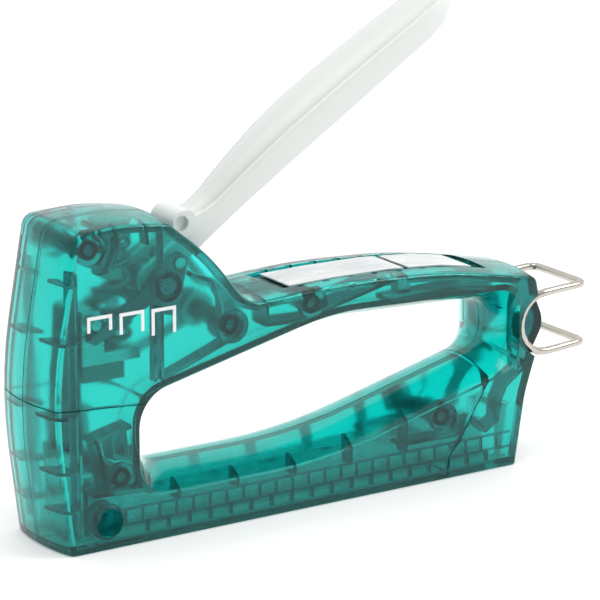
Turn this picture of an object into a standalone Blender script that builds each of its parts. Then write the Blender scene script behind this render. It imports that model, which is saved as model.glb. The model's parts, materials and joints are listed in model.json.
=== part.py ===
"""Squeeze-lever hand tacker: translucent housing shells, lever, spring-driven hammer and magazine.

Frame: +X runs from the nose to the rear, +Z up, Y across. The shapes are drawn about the middle of the
base, and are then moved along X so that the origin is the bottom centre of the whole tool's box.
All dimensions are in millimetres and are turned into metres when a mesh is made.
"""
import math

import bmesh
import bpy
from mathutils import Matrix, Vector

MM = 0.001

# Driving dimensions
HALF_WIDTH = 13.7           # housing, side face to middle plane
WALL = 2.0                  # housing wall
SPLIT_GAP = 0.3             # gap between touching pieces
ARC_STEP = math.radians(11.0)       # turn of one straight step round an outline's corner
FILLET = 1.0                # rounding where the crowned skin meets the side face
LEVER_REST = math.radians(33.0)     # lever above the horizontal at rest
PIVOT = (-38.7, 64.8)       # lever pivot, x and z
PIN_RADIUS = 2.2            # lever pivot pin
BORE_PLAY = 0.3             # gap round every pin and screw
RIVET_RADIUS = 1.5          # lever rivet and lift pin
RIVET = (7.0, 1.0)          # rivet through lever and fork, in lever coordinates
LIFT_PIN = (-57.4, 57.0)    # cross pin on the hammer
BLADE_X = -61.0             # middle of the driver blade
SPRING_X = -48.3            # axis of the power spring
SPRING_Z = (49.3, 78.6)     # power spring, bottom and top
LOOP_PIVOT = (79.7, 37.4)   # wire loop's centre of swing
LOOP_RADIUS = 8.2
LOOP_Y = 11.2               # wire loop's side runs, from the middle plane
LOOP_WIRE = 1.05            # wire radius
PLATE_Y = (6.4, 8.0)        # lift fork's plates, inner and outer faces
SHANK_RADIUS = 1.2          # housing screw
HEAD_RADIUS = 2.6           # housing screw head
BOSS_RADIUS = 2.6           # screw boss inside the shells
RECESS_Y = 8.4              # label recess, half-width
LABEL_Y = 7.0               # label, half-width
NOTCHES = 8                 # notches along each edge of the recess
NOTCH_PITCH = 7.6
NOTCH_LENGTH = 1.8
KNUCKLE = (15.0, 6.3)       # rolled end of the lever, in lever coordinates
KNUCKLE_RADIUS = 3.6
KNUCKLE_DISH = (14.2, 7.1)  # hollow in each end of the roll, in lever coordinates
DISH_RADIUS = 2.1
MARK_PITCH = 5.0            # upper row of marks along the magazine side
CELL_PITCH = 6.2            # lower row of marks
ROD_Z = 6.0                 # magazine rod's height

# Side outline as corners: x, z, corner radius, crown of the skin after the corner, fillet there
OUTER = [
    (-70.4, 0.0, 0.8, 2.2, 1.0),
    (-75.3, 39.0, 190.0, 2.0, 1.0),
    (-67.3, 83.0, 5.0, 1.0, 1.0),
    (-50.0, 83.7, 120.0, 1.0, 1.0),
    (-38.4, 82.1, 2.5, 1.2, 1.0),
    (-26.5, 72.5, 60.0, 1.2, 1.0),
    (-14.8, 57.9, 7.0, 0.9, 1.0),
    (14.0, 59.3, 200.0, 0.9, 1.0),
    (48.0, 57.4, 160.0, 1.2, 1.0),
    (76.3, 51.8, 4.0, 1.6, 1.0),
    (77.6, 45.5, 14.0, 1.5, 1.0),
    (81.2, 37.0, 7.5, 1.5, 1.0),
    (76.4, 28.6, 14.0, 1.4, 1.0),
    (72.9, 18.0, 30.0, 1.2, 1.0),
    (70.0, 0.0, 0.8, 0.0, 0.0),
]
OPENING = [
    (-44.4, 34.8, 8.0, 4.0, 1.0),
    (10.0, 47.2, 70.0, 4.0, 1.0),
    (65.8, 45.0, 6.0, 3.5, 1.0),
    (65.9, 31.3, 7.0, 4.9, 1.0),
    (6.0, 16.4, 150.0, 4.3, 1.0),
    (-44.4, 16.5, 8.0, 4.0, 1.0),
]

# Line where the magazine housing meets the upper housing, through the nose, opening and rear
PARTING = [
    (-90.0, 39.4), (-43.0, 35.9), (-36.0, 30.0), (40.0, 38.0), (57.0, 34.5),
    (58.6, 29.8), (60.0, 25.8), (54.3, 16.7), (50.2, 9.6), (46.7, 6.0), (44.9, -10.0),
]

SCREWS = {
    "head": (-60.6, 77.0), "neck": (-19.7, 51.8), "handle": (4.8, 53.6),
    "nose": (-52.1, 17.2), "rear": (46.1, 16.4),
}


# ---------------------------------------------------------------- scene and materials

def clear_scene():
    for obj in list(bpy.data.objects):
        bpy.data.objects.remove(obj, do_unlink=True)


def material(name, colour, roughness, metallic=0.0, transmission=0.0):
    made = bpy.data.materials.get(name) or bpy.data.materials.new(name)
    made.use_nodes = True
    shader = made.node_tree.nodes["Principled BSDF"]
    shader.inputs["Base Color"].default_value = (*colour, 1.0)
    shader.inputs["Roughness"].default_value = roughness
    shader.inputs["Metallic"].default_value = metallic
    shader.inputs["Transmission Weight"].default_value = transmission
    return made


def finishes():
    return {
        "teal": material("clear_teal_plastic", (0.0, 0.45, 0.38), 0.12, transmission=0.9),
        "lever": material("satin_lever_paint", (0.66, 0.68, 0.65), 0.35, metallic=0.3),
        "steel": material("bright_steel", (0.55, 0.56, 0.56), 0.3, metallic=1.0),
        "dark": material("dark_steel", (0.16, 0.17, 0.18), 0.4, metallic=0.9),
        "nickel": material("nickel_wire", (0.72, 0.70, 0.66), 0.18, metallic=1.0),
        "card": material("white_label", (0.85, 0.86, 0.86), 0.5),
        "rubber": material("grey_elastomer", (0.35, 0.36, 0.36), 0.7),
        "nylon": material("natural_nylon", (0.72, 0.72, 0.68), 0.45),
    }


# ---------------------------------------------------------------- mesh tools

def finish(name, bm, finish_material, origin=(0.0, 0.0, 0.0)):
    """Turn a bmesh in millimetres into an object whose origin is the given point."""
    bmesh.ops.recalc_face_normals(bm, faces=bm.faces)
    mesh = bpy.data.meshes.new(name)
    bmesh.ops.translate(bm, verts=bm.verts, vec=-Vector(origin))
    bmesh.ops.scale(bm, verts=bm.verts, vec=(MM, MM, MM))
    bm.to_mesh(mesh)
    bm.free()
    obj = bpy.data.objects.new(name, mesh)
    bpy.context.scene.collection.objects.link(obj)
    obj.location = Vector(origin) * MM
    if finish_material:
        mesh.materials.append(finish_material)
    return obj


def loft(rings):
    """Skin a list of equal rings of points, closed with a flat face at each end."""
    bm = bmesh.new()
    loops = [[bm.verts.new(point) for point in ring] for ring in rings]
    count = len(loops[0])
    for low, high in zip(loops, loops[1:]):
        for i in range(count):
            j = (i + 1) % count
            bm.faces.new((low[i], low[j], high[j], high[i]))
    bm.faces.new(list(reversed(loops[0])))
    bm.faces.new(loops[-1])
    return bm


def prism(points, y0, y1):
    """Closed solid: an outline in X and Z, run along Y."""
    return loft([[(x, y, z) for x, z in points] for y in (y0, y1)])


def circle(x, z, radius, count=16, turn=0.0):
    steps = [turn + 2.0 * math.pi * i / count for i in range(count)]
    return [(x + radius * math.cos(a), z + radius * math.sin(a)) for a in steps]


def rectangle(x0, x1, z0, z1):
    return [(x0, z0), (x1, z0), (x1, z1), (x0, z1)]


def strip(points, thickness):
    """Outline of a band of even thickness along a line of points, with mitred corners."""
    left, right = [], []
    for i, (x, z) in enumerate(points):
        before = Vector(points[max(i - 1, 0)])
        after = Vector(points[min(i + 1, len(points) - 1)])
        here = Vector((x, z))
        along = [v.normalized() for v in (here - before, after - here) if v.length > 0.0]
        mean = (along[0] + along[-1]).normalized()
        reach = 0.5 * thickness / max(mean.dot(along[0]), 0.4)
        normal = Vector((-mean.y, mean.x)) * reach
        left.append(tuple(here + normal))
        right.append(tuple(here - normal))
    return left + right[::-1]


def apply_boolean(target, tool, operation):
    modifier = target.modifiers.new("boolean", "BOOLEAN")
    modifier.operation = operation
    modifier.object = tool
    modifier.solver = "EXACT"
    graph = bpy.context.evaluated_depsgraph_get()
    result = bpy.data.meshes.new_from_object(target.evaluated_get(graph))
    target.modifiers.clear()
    old = target.data
    target.data = result
    result.name = old.name
    bpy.data.meshes.remove(old)
    bpy.data.objects.remove(tool, do_unlink=True)


def cut(target, bm):
    apply_boolean(target, finish("cutter", bm, None), "DIFFERENCE")


def join(target, bm):
    apply_boolean(target, finish("addition", bm, None), "UNION")


def keep_inside(target, bm):
    apply_boolean(target, finish("keeper", bm, None), "INTERSECT")


def tube(path, radius, sides=8, closed=False):
    """Round bar along a line of 3-D points, in millimetres."""
    bm = bmesh.new()
    points = [Vector(p) for p in path]
    count = len(points)
    rings = []
    normal = None
    for i, point in enumerate(points):
        before = points[i - 1] if (closed or i > 0) else point
        after = points[(i + 1) % count] if (closed or i < count - 1) else point
        along = (after - before).normalized()
        if normal is None:
            normal = along.orthogonal().normalized()
        normal = (normal - along * normal.dot(along)).normalized()
        side = along.cross(normal)
        steps = [2.0 * math.pi * k / sides for k in range(sides)]
        offsets = [radius * (math.cos(a) * normal + math.sin(a) * side) for a in steps]
        rings.append([bm.verts.new(point + offset) for offset in offsets])
    pairs = list(zip(rings, rings[1:]))
    for low, high in pairs:
        for k in range(sides):
            bm.faces.new((low[k], low[(k + 1) % sides], high[(k + 1) % sides], high[k]))
    if closed:
        last, first = rings[-1], rings[0]
        offset = min(range(sides), key=lambda s: (last[0].co - first[s].co).length)
        for k in range(sides):
            a, b = (k + offset) % sides, (k + 1 + offset) % sides
            bm.faces.new((last[k], last[(k + 1) % sides], first[b], first[a]))
    else:
        bm.faces.new(list(reversed(rings[0])))
        bm.faces.new(rings[-1])
    return bm


def helix(start, axis, length, radius, wire, turns, steps=12, sides=6):
    """Coil spring: its first and last turns lie nearly flat."""
    along = Vector(axis)
    across = along.orthogonal().normalized()
    third = along.cross(across)
    count = int(turns * steps)
    path = []
    for i in range(count + 1):
        t = i / count
        rise = length * (t - 0.55 * math.sin(2.0 * math.pi * t) / (2.0 * math.pi))
        angle = 2.0 * math.pi * turns * t
        path.append(Vector(start) + along * rise
                    + radius * (math.cos(angle) * across + math.sin(angle) * third))
    return tube(path, wire, sides)


# ---------------------------------------------------------------- housing outline

def offset_outline(corners, inset, inward):
    """Sample a rounded polygon after moving each edge by inset(edge), towards the body if inward."""
    count = len(corners)
    area = sum(corners[i][0] * corners[(i + 1) % count][1] - corners[(i + 1) % count][0] * corners[i][1]
               for i in range(count))
    turn = 1.0 if area > 0.0 else -1.0
    moved = []
    for i in range(count):
        a = Vector(corners[i][:2])
        b = Vector(corners[(i + 1) % count][:2])
        along = (b - a).normalized()
        normal = Vector((-along.y, along.x)) * turn * (1.0 if inward else -1.0)
        moved.append((a + normal * inset(corners[i]), along))
    result = []
    for i in range(count):
        (p, d), (q, e) = moved[i - 1], moved[i]
        cross = d.x * e.y - d.y * e.x
        step = ((q - p).x * e.y - (q - p).y * e.x) / cross
        corner = p + d * step
        amount = 0.5 * (inset(corners[i - 1]) + inset(corners[i]))
        bulges = (cross * turn > 0.0) == inward
        radius = corners[i][2] - amount if bulges else corners[i][2] + amount
        half = 0.5 * abs(math.atan2(cross, d.dot(e)))
        limit = 0.46 * min((Vector(corners[i][:2]) - Vector(corners[j % count][:2])).length
                           for j in (i - 1, i + 1))
        reach = min(max(radius, 0.25) * math.tan(half), limit)
        radius = reach / math.tan(half)
        centre = corner + (e - d).normalized() * radius / math.cos(half)
        first, last = corner - d * reach - centre, corner + e * reach - centre
        sweep = math.atan2(first.x * last.y - first.y * last.x, first.dot(last))
        arc_steps = min(max(math.ceil(2.0 * half / ARC_STEP), 3), 7)
        for k in range(arc_steps + 1):
            angle = sweep * k / arc_steps
            c, s = math.cos(angle), math.sin(angle)
            result.append((centre.x + c * first.x - s * first.y, centre.y + s * first.x + c * first.y))
    return result


def skin(corners, levels, inward, wall=0.0):
    """Loft of a crowned outline: levels are (y, fillet share), the crown grows with y squared."""
    rings = []
    for y, share in levels:
        swell = (y / HALF_WIDTH) ** 2

        def inset(corner, swell=swell, share=share):
            return wall + corner[3] * swell + corner[4] * FILLET * share
        rings.append([(x, -y, z) for x, z in offset_outline(corners, inset, inward)])
    return loft(rings)


def housing_levels(first, last):
    crown = [(first, 0.0), (0.4 * last, 0.0), (0.65 * last, 0.0), (0.82 * last, 0.0), (last - FILLET, 0.0)]
    return crown + [(last - 0.6 * FILLET, 0.08), (last - 0.25 * FILLET, 0.34), (last, 0.9)]


# ---------------------------------------------------------------- ribs inside the shells

def rib_list():
    """Ribs as (outline, inner y): each runs from the side wall in to the inner y."""
    ribs = []
    for x0, z0, x1, z1 in (
            (-74.0, 70.0, -65.0, 68.6), (-74.5, 55.0, -65.0, 53.6), (-74.5, 36.0, -65.0, 35.0),
            (-74.0, 22.0, -65.0, 20.6), (-73.0, 11.5, -65.0, 10.6)):
        ribs.append((strip([(x0, z0), (x1, z1)], 0.9), 4.0))
    ribs.append((strip([(-65.2, 4.0), (-65.2, 72.0)], 0.9), 8.4))
    ribs.append((strip([(-57.6, 80.0), (-57.6, 84.5)], 0.9), 3.0))
    ribs.append((strip([(-53.6, 84.5), (-53.4, 76.0), (-55.5, 71.5), (-58.8, 71.0)], 1.0), 8.6))
    ribs.append((strip([(-45.4, 84.5), (-44.6, 76.5)], 0.9), 8.6))
    ribs.append((strip([(-42.6, 41.0), (-42.6, 60.5)], 0.8), 9.4))
    ribs.append((strip([(-40.6, 41.0), (-40.6, 60.0)], 0.8), 9.4))
    ribs.append((strip([(-40.6, 69.6), (-40.6, 79.0)], 0.8), 9.4))
    ribs.append((strip([(-40.0, 41.5), (-30.0, 45.0), (-19.0, 49.0)], 1.0), 8.0))
    ribs.append((strip([(-32.0, 67.0), (-26.0, 64.5), (-23.2, 59.5), (-23.0, 54.0)], 1.2), 9.2))
    ribs.append((strip([(-9.5, 58.5), (-9.5, 50.5), (3.5, 50.0)], 0.9), 5.0))
    ribs.append((strip([(6.5, 51.5), (29.0, 56.4)], 0.9), 5.0))
    ribs.append((rectangle(31.0, 34.6, 52.5, 59.0), 8.0))
    ribs.append((strip([(28.5, 51.0), (50.0, 51.4), (61.0, 49.6), (68.5, 42.0)], 1.3), 5.0))
    for x in (-36.2, -18.6, -1.2, 16.2, 33.6):
        ribs.append((strip([(x, 9.0), (x + 0.6, 30.0)], 1.0), 8.0))
    ribs.append((strip([(32.0, 11.4), (50.0, 11.2), (55.6, 14.4), (59.6, 10.6), (63.4, 13.0),
                        (64.0, 18.0), (66.0, 22.0), (73.5, 27.3)], 1.1), 6.8))
    ribs.append((strip([(64.5, 32.5), (74.0, 26.6)], 1.3), 5.0))
    for z in (5.0, 9.0):
        ribs.append((strip([(-52.4, z), (67.5, z)], 0.5), 10.9))
    for i in range(24):
        x = -51.8 + MARK_PITCH * i
        ribs.append((strip([(x, 4.9), (x, 9.1)], 0.5), 10.9))
    for i in range(18):
        x = -45.2 + CELL_PITCH * i
        ribs.append((strip([(x, 1.0), (x, 5.1)], 0.5), 10.2))
    ribs.append((strip([(-61.0, 28.1), (-50.0, 30.6)], 1.2), 6.6))
    ribs.append((strip([(-59.6, 28.0), (-57.0, 14.0)], 1.1), 6.6))
    ribs.append((strip([(-55.8, 28.6), (-54.6, 23.0), (-51.4, 23.4), (-52.0, 30.0)], 1.1), 6.6))
    ribs.append((strip([(-61.0, 14.2), (-45.0, 13.2), (-42.4, 15.4)], 1.2), 6.6))
    ribs.append((strip([(-47.6, 24.0), (-45.2, 13.5)], 1.1), 6.6))
    return ribs


def shell_blank():
    """One hollow half of the housing, ribs and bosses included, before it is drilled and parted."""
    half = finish("half", skin(OUTER, housing_levels(0.5 * SPLIT_GAP, HALF_WIDTH), True), None)
    cut(half, skin(OPENING, housing_levels(-1.0, HALF_WIDTH + 1.0), False))
    inner = HALF_WIDTH - WALL
    void_levels = [(-1.0, 0.0), (0.5 * inner, 0.0), (0.8 * inner, 0.0), (inner, 0.5)]
    void = finish("void", skin(OUTER, void_levels, True, WALL), None)
    cut(void, skin(OPENING, [(-2.0, 0.0), (0.5 * inner, 0.0), (0.8 * inner, 0.0), (inner + 1.0, 0.4)],
                   False, WALL))
    for outline, inner_y in rib_list():
        cut(void, prism(outline, -inner - 1.0, -inner_y))
    for x, z in SCREWS.values():
        cut(void, prism(circle(x, z, 4.0, 18), -inner - 1.0, -9.4))
    cut(void, prism(circle(*SCREWS["neck"], 4.5, 20), -inner - 1.0, -6.0))
    join(void, prism(circle(*SCREWS["neck"], 3.3, 18), -9.4, -5.0))
    for x, z in SCREWS.values():
        cut(void, prism(circle(x, z, BOSS_RADIUS, 14), -inner - 1.0, 2.0))
    cut(void, prism(circle(*PIVOT, 3.9, 18), -inner - 1.0, -8.8))
    cut(void, prism(circle(-57.2, 6.8, 4.8, 16), -inner - 1.0, -7.9))
    cut(void, prism(rectangle(69.6, 90.0, 25.0, 50.0), -inner - 1.0, -LOOP_Y + 3.1))
    apply_boolean(half, void, "DIFFERENCE")
    return half


def mirrored(obj, name):
    """Copy of an object across the middle plane."""
    bm = bmesh.new()
    bm.from_mesh(obj.data)
    bmesh.ops.scale(bm, verts=bm.verts, vec=(1.0, -1.0, 1.0))
    bmesh.ops.reverse_faces(bm, faces=bm.faces)
    mesh = bpy.data.meshes.new(name)
    bm.to_mesh(mesh)
    bm.free()
    copy = bpy.data.objects.new(name, mesh)
    bpy.context.scene.collection.objects.link(copy)
    return copy


def lever_slot():
    """Cut for the lever through the sloping back of the head."""
    outline = [(-37.6, 90.0), (-37.6, 74.0), (-30.5, 61.5), (-14.0, 56.9), (-5.0, 59.4), (-5.0, 90.0)]
    return prism(outline, -6.7, 6.7)


def drill_half(half, side):
    """Bores, slot, recesses and nose opening of one half; side is -1 left or +1 right."""
    def along(y0, y1):
        return sorted((side * y0, side * y1))
    shank_bore = SHANK_RADIUS + BORE_PLAY
    if side > 0:
        for x, z in SCREWS.values():
            cut(half, prism(circle(x, z, shank_bore, 10), *along(-1.0, 12.0)))
            cut(half, prism(circle(x, z, HEAD_RADIUS + BORE_PLAY, 14), *along(11.0, 20.0)))
    else:
        for x, z in SCREWS.values():
            cut(half, prism(circle(x, z, shank_bore, 10), *along(-1.0, 9.6)))
    cut(half, prism(circle(*PIVOT, PIN_RADIUS + BORE_PLAY, 14), *along(-1.0, 11.8)))
    cut(half, prism(circle(-57.2, 6.8, 3.75, 20), *along(8.9, 20.0)))
    cut(half, lever_slot())
    cut(half, prism(rectangle(-64.6, -58.9, -1.0, 6.0), -7.9, 7.9))
    cut(half, prism(rectangle(-60.0, 66.0, -1.0, 3.0), -6.3, 6.3))
    cut(half, prism(rectangle(64.0, 80.0, 0.9, 14.9), -6.6, 6.6))
    cut(half, prism(circle(*LOOP_PIVOT, LOOP_RADIUS + 1.5, 28), *along(LOOP_Y - 1.4, 20.0)))
    cut(half, prism(label_recess(), -RECESS_Y, RECESS_Y))
    for k in range(NOTCHES):
        x, floor = 2.0 + NOTCH_PITCH * k, 57.9 - 0.028 * k * k
        notch = rectangle(x, x + NOTCH_LENGTH, floor, 70.0)
        cut(half, prism(notch, *along(RECESS_Y - 0.5, RECESS_Y + 1.0)))


def label_recess():
    """Outline of the shallow pocket along the handle top."""
    floor = [(-3.0, 57.5), (14.0, 57.8), (32.0, 57.5), (48.0, 56.2), (62.0, 53.7)]
    return floor + [(63.0, 70.0), (-3.5, 70.0)]


def parting_region(shift):
    """Region of the magazine housing, its upper edge moved by shift along Z or X."""
    line = offset_line(PARTING, shift)
    return line + [(-90.0, -10.0)]


def offset_line(points, shift):
    moved = []
    for i, point in enumerate(points):
        before = Vector(points[max(i - 1, 0)])
        after = Vector(points[min(i + 1, len(points) - 1)])
        along = (after - before).normalized()
        moved.append(tuple(Vector(point) + Vector((-along.y, along.x)) * shift))
    return moved


def copy_object(obj, name):
    twin = bpy.data.objects.new(name, obj.data.copy())
    bpy.context.scene.collection.objects.link(twin)
    return twin


def name_piece(obj, name, finish_material):
    obj.name = name
    obj.data.name = name
    obj.data.materials.clear()
    obj.data.materials.append(finish_material)
    obj.data.shade_smooth()
    obj.data.set_sharp_from_angle(angle=math.radians(32.0))
    return obj


def build_housing(paints):
    left = shell_blank()
    right = mirrored(left, "right_half")
    for half, side, word in ((left, -1, "left"), (right, 1, "right")):
        drill_half(half, side)
        lower = copy_object(half, "lower")
        cut(half, prism(parting_region(0.5 * SPLIT_GAP), -30.0, 30.0))
        keep_inside(lower, prism(parting_region(-0.5 * SPLIT_GAP), -30.0, 30.0))
        name_piece(half, "upper_shell_" + word, paints["teal"])
        name_piece(lower, "magazine_shell_" + word, paints["teal"])


# ---------------------------------------------------------------- lever and its parts

def lever_frame(x, z):
    """Lever coordinates (along it from the pivot, and square to it) to x and z at rest."""
    c, s = math.cos(LEVER_REST), math.sin(LEVER_REST)
    return PIVOT[0] + c * x - s * z, PIVOT[1] + s * x + c * z


# Lever sections: distance from the pivot, lower edge, side height, crown, half-width
LEVER_SECTIONS = [
    (12.6, -1.6, 6.6, 1.0, 5.2), (16.0, -1.5, 7.4, 1.4, 5.4), (19.0, -1.3, 7.4, 1.2, 5.5),
    (22.0, -1.1, 6.4, 1.5, 5.6), (26.0, -0.8, 6.1, 1.9, 5.9), (31.0, -0.4, 6.3, 2.0, 6.4),
    (39.0, 0.1, 6.7, 2.3, 7.2), (50.0, 0.6, 7.1, 2.5, 8.1), (62.0, 0.7, 7.2, 2.6, 8.6),
    (75.0, 0.6, 7.0, 2.5, 8.6), (88.0, 0.4, 6.6, 2.4, 8.4), (98.0, 0.1, 6.4, 2.2, 8.1),
    (104.0, 0.6, 5.6, 1.9, 7.5), (108.0, 2.1, 3.8, 1.7, 6.2), (109.6, 3.8, 1.8, 1.0, 4.4),
]
LEVER_WALL = 1.6


def lever_profile(section):
    """Half section of the grip from its lower edge to its ridge: side, bead, groove and crown."""
    x, low, height, crown, half = section
    top = low + height
    points = [(-half, low), (-half, low + 0.35 * height), (-half, top - 1.0), (-half + 0.3, top - 0.3),
              (-half + 0.9, top), (-half + 1.4, top - 0.1), (-half + 1.75, top - 0.55), (-half + 2.1, top)]
    reach = half - 2.1
    for k in range(1, 5):
        y = -reach * (1.0 - k / 4.0)
        points.append((y, top + crown * (1.0 - (y / reach) ** 2)))
    return points


def lever_ring(section):
    """Whole section of the grip, as 3-D points at rest."""
    half_ring = lever_profile(section)
    ring = half_ring + [(-y, z) for y, z in reversed(half_ring[:-1])]
    return [(px, y, pz) for y, z in ring for px, pz in [lever_frame(section[0], z)]]


def hollow_ring(section):
    """Section of the space under the grip, open well below its lower edge."""
    x, low, height, crown, half = section
    y, top = half - LEVER_WALL, low + height - 0.9
    ring = [(-y, low - 6.0), (-y, top - 1.2), (-y + 1.2, top), (0.0, top + max(crown - 0.7, 0.1)),
            (y - 1.2, top), (y, top - 1.2), (y, low - 6.0)]
    return [(px, y, pz) for y, z in ring for px, pz in [lever_frame(x, z)]]


def build_lever(paints):
    origin = (PIVOT[0], 0.0, PIVOT[1])
    solid = loft([lever_ring(s) for s in LEVER_SECTIONS])
    grip = finish("lever", solid, None)
    first = LEVER_SECTIONS[0]
    mouth = (first[0] - 4.0,) + first[1:]
    space = loft([hollow_ring(s) for s in [mouth] + LEVER_SECTIONS[1:12]])
    bmesh.ops.triangulate(space, faces=space.faces)
    cut(grip, space)
    roll = circle(*KNUCKLE, KNUCKLE_RADIUS, 18)
    join(grip, prism([lever_frame(x, z) for x, z in roll], -first[4] - 0.35, first[4] + 0.35))
    for side in (-1.0, 1.0):
        y0, y1 = sorted((side * (first[4] - 1.0), side * 9.0))
        cut(grip, prism([lever_frame(x, z) for x, z in circle(*KNUCKLE_DISH, DISH_RADIUS, 14)], y0, y1))
        cheek = [lever_frame(x, z) for x, z in circle(0.0, 0.0, 4.4, 16)[4:13]]
        cheek += [lever_frame(12.0, -1.5), lever_frame(24.0, -0.9), lever_frame(24.0, 3.4),
                  lever_frame(12.0, 4.3)]
        y0, y1 = sorted((side * 3.4, side * 5.0))
        join(grip, prism(cheek, y0, y1))
        cut(grip, prism(circle(*lever_frame(*RIVET), RIVET_RADIUS + BORE_PLAY, 10), y0 - 0.5, y1 + 0.5))
    cut(grip, prism(circle(*PIVOT, PIN_RADIUS + BORE_PLAY, 14), -9.0, 9.0))
    name_piece(grip, "lever", paints["lever"])
    set_origin(grip, origin)


def set_origin(obj, origin_mm):
    """Move an object's origin to a point, its mesh staying in place."""
    origin = Vector(origin_mm) * MM
    obj.data.transform(Matrix.Translation(-(origin - obj.location)))
    obj.location = origin


def fork_outline():
    """Bell crank: boss at the pivot, finger under the lift pin, lobe to the rivet, toe behind."""
    tip = Vector((-57.6, 53.0))
    pivot = Vector(PIVOT)
    toward = (tip - pivot).normalized()
    normal = Vector((toward.y, -toward.x))
    rivet = Vector(lever_frame(*RIVET))
    toe = Vector((-35.5, 57.8))
    points = []
    for k in range(5):
        angle = math.pi * k / 4.0
        points.append(tip + 1.3 * (math.cos(angle) * normal + math.sin(angle) * toward))
    points.append(pivot - normal * 2.6 + toward * 5.0)
    points.append(toe + Vector((-1.9, -1.2)))
    points.append(toe + Vector((1.2, -1.9)))
    points.append(toe + Vector((2.2, 0.4)))
    points.append(rivet + Vector((2.0, -2.0)))
    points.append(rivet + Vector((2.5, 1.0)))
    points.append(rivet + Vector((0.2, 2.6)))
    points.append(pivot + Vector((-0.6, 4.5)))
    points.append(pivot + normal * 1.5 + toward * 6.0)
    return [tuple(p) for p in points]


def build_lever_group(paints):
    origin = (PIVOT[0], 0.0, PIVOT[1])
    outline = fork_outline()
    near, far = PLATE_Y
    fork = finish("lift_fork", prism(outline, -far, -near), None)
    toe = circle(-35.5, 57.8, RIVET_RADIUS, 10)
    second = finish("plate", prism(outline, near, far), None)
    bar = finish("bar", prism(toe, -near - 0.6, near + 0.6), None)
    apply_boolean(fork, bar, "UNION")
    apply_boolean(fork, second, "UNION")
    cut(fork, prism(circle(*PIVOT, PIN_RADIUS + BORE_PLAY, 14), -9.0, 9.0))
    cut(fork, prism(circle(*lever_frame(*RIVET), RIVET_RADIUS + BORE_PLAY, 10), -9.0, 9.0))
    name_piece(fork, "lift_fork", paints["dark"])
    set_origin(fork, origin)
    rivet = finish("lever_rivet", prism(circle(*lever_frame(*RIVET), RIVET_RADIUS, 12), -8.6, 8.6), None)
    name_piece(rivet, "lever_rivet", paints["steel"])
    set_origin(rivet, origin)
    coil = helix((PIVOT[0], -2.6, PIVOT[1]), (0.0, 1.0, 0.0), 5.2, 3.6, 0.5, 4.0, 12, 5)
    spring = finish("lever_return_spring", coil, None)
    name_piece(spring, "lever_return_spring", paints["dark"])
    set_origin(spring, origin)
    pin = finish("lever_pivot_pin", prism(circle(*PIVOT, PIN_RADIUS, 16), -11.5, 11.5), None)
    name_piece(pin, "lever_pivot_pin", paints["steel"])


# ---------------------------------------------------------------- hammer, blade and power spring

def build_drive(paints):
    body = [(-60.2, 46.0), (-43.7, 46.0), (-43.7, 49.0), (-54.0, 49.0), (-54.0, 58.0), (-55.6, 60.0),
            (-60.2, 60.0)]
    hammer = finish("hammer", prism(body, -6.0, 6.0), None)
    cut(hammer, prism(circle(*LIFT_PIN, RIVET_RADIUS + BORE_PLAY, 12), -9.0, 9.0))
    name_piece(hammer, "hammer", paints["steel"])
    pin = finish("lift_pin", prism(circle(*LIFT_PIN, RIVET_RADIUS, 12), -8.3, 8.3), None)
    name_piece(pin, "lift_pin", paints["steel"])
    blade_outline = [(-5.7, 0.9), (5.7, 0.9), (5.7, 44.0), (4.6, 46.0), (4.6, 60.0), (-4.6, 60.0),
                     (-4.6, 46.0), (-5.7, 44.0)]
    rings = [[(BLADE_X + dx, y, z) for y, z in blade_outline] for dx in (-0.45, 0.45)]
    blade = finish("driver_blade", loft(rings), None)
    name_piece(blade, "driver_blade", paints["dark"])
    low, high = SPRING_Z
    coil = helix((SPRING_X, 0.0, low + 0.9), (0.0, 0.0, 1.0), high - low - 1.8, 4.4, 0.8, 7.0, 14, 6)
    spring = finish("power_spring", coil, None)
    name_piece(spring, "power_spring", paints["dark"])
    guide = finish("spring_guide", turned([(2.8, 66.0), (2.8, 78.9), (5.4, 78.9), (5.4, 80.4)], 16), None)
    guide.location = Vector((SPRING_X, 0.0, 0.0)) * MM
    name_piece(guide, "spring_guide", paints["nylon"])
    bumper = finish("hammer_bumper", loft([box_ring(-59.8, -48.0, -5.6, 5.6, z) for z in (41.6, 45.6)]), None)
    name_piece(bumper, "hammer_bumper", paints["rubber"])


def box_ring(x0, x1, y0, y1, z):
    return [(x0, y0, z), (x1, y0, z), (x1, y1, z), (x0, y1, z)]


def turned(profile, count):
    """Solid of revolution about Z from (radius, z) points, closed with flat ends."""
    return loft([[(r * math.cos(2.0 * math.pi * k / count), r * math.sin(2.0 * math.pi * k / count), z)
                  for k in range(count)] for r, z in profile])


# ---------------------------------------------------------------- magazine

def channel(x0, x1, outer, inner, z0, z1, roof):
    """Inverted U bar along X: outer and inner half-widths, and the thickness of its roof."""
    section = [(-outer, z0), (-inner, z0), (-inner, z1 - roof), (inner, z1 - roof), (inner, z0),
               (outer, z0), (outer, z1), (-outer, z1)]
    return loft([[(x, y, z) for y, z in section] for x in (x0, x1)])


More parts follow.
